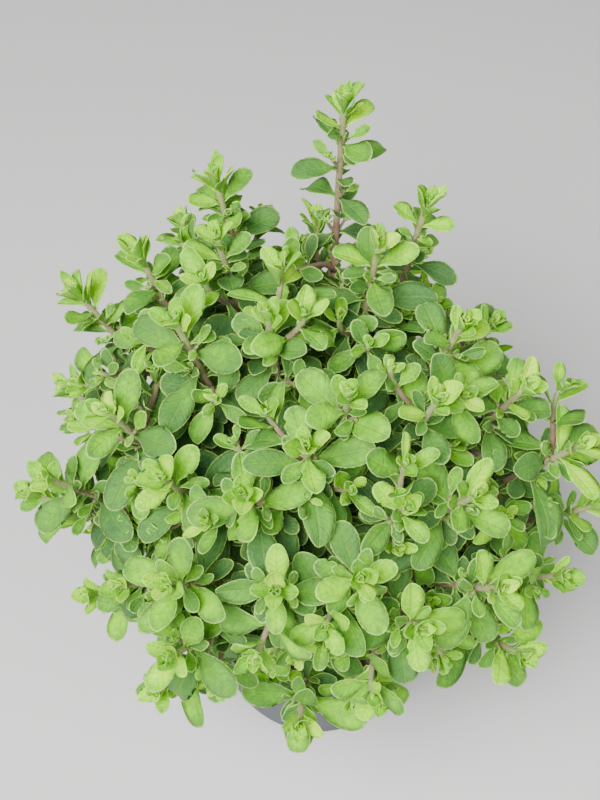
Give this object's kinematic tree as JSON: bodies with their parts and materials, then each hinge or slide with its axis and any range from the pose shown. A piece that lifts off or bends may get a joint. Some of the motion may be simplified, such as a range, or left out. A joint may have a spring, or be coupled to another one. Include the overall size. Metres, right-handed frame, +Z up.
{
  "type": "potted sweet marjoram",
  "caption": "Sweet marjoram in a plain plastic nursery pot: square leafy stems with paired felty spoon-shaped leaves form a ball over peat soil.",
  "frame": {"origin": "centre of the pot's flat underside", "axes": "+Z up along the pot's axis; -Y is the front, the side seen in the picture"},
  "size_m": [0.208, 0.1998, 0.2662],
  "materials": {
    "slate_plastic": "satin slate grey injection moulded",
    "peat_soil": "rough damp peat",
    "marjoram_leaf": "soft felty leaf with a pale margin"
  },
  "bodies": {
    "root": {"pot": "slate_plastic", "tall_stem": "marjoram_leaf", "leafy_stem_01": "marjoram_leaf", "leafy_stem_02": "marjoram_leaf", "leafy_stem_03": "marjoram_leaf", "leafy_stem_04": "marjoram_leaf", "leafy_stem_05": "marjoram_leaf", "leafy_stem_06": "marjoram_leaf", "leafy_stem_07": "marjoram_leaf", "leafy_stem_08": "marjoram_leaf", "leafy_stem_09": "marjoram_leaf", "leafy_stem_10": "marjoram_leaf", "leafy_stem_11": "marjoram_leaf", "leafy_stem_12": "marjoram_leaf", "leafy_stem_13": "marjoram_leaf", "leafy_stem_14": "marjoram_leaf", "leafy_stem_15": "marjoram_leaf", "leafy_stem_16": "marjoram_leaf", "leafy_stem_17": "marjoram_leaf", "leafy_stem_18": "marjoram_leaf", "leafy_stem_19": "marjoram_leaf", "leafy_stem_20": "marjoram_leaf", "leafy_stem_21": "marjoram_leaf", "leafy_stem_22": "marjoram_leaf", "leafy_stem_23": "marjoram_leaf", "leafy_stem_24": "marjoram_leaf", "leafy_stem_25": "marjoram_leaf", "leafy_stem_26": "marjoram_leaf", "leafy_stem_27": "marjoram_leaf", "leafy_stem_28": "marjoram_leaf", "leafy_stem_29": "marjoram_leaf", "leafy_stem_30": "marjoram_leaf", "leafy_stem_31": "marjoram_leaf", "leafy_stem_32": "marjoram_leaf", "leafy_stem_33": "marjoram_leaf", "leafy_stem_34": "marjoram_leaf", "leafy_stem_35": "marjoram_leaf", "leafy_stem_36": "marjoram_leaf", "leafy_stem_37": "marjoram_leaf", "leafy_stem_38": "marjoram_leaf", "leafy_stem_39": "marjoram_leaf", "leafy_stem_40": "marjoram_leaf", "leafy_stem_41": "marjoram_leaf", "leafy_stem_42": "marjoram_leaf", "leafy_stem_43": "marjoram_leaf", "leafy_stem_44": "marjoram_leaf", "leafy_stem_45": "marjoram_leaf", "leafy_stem_46": "marjoram_leaf", "leafy_stem_47": "marjoram_leaf", "leafy_stem_48": "marjoram_leaf", "leafy_stem_49": "marjoram_leaf", "leafy_stem_50": "marjoram_leaf", "soil": "peat_soil"}
  },
  "joints": []
}
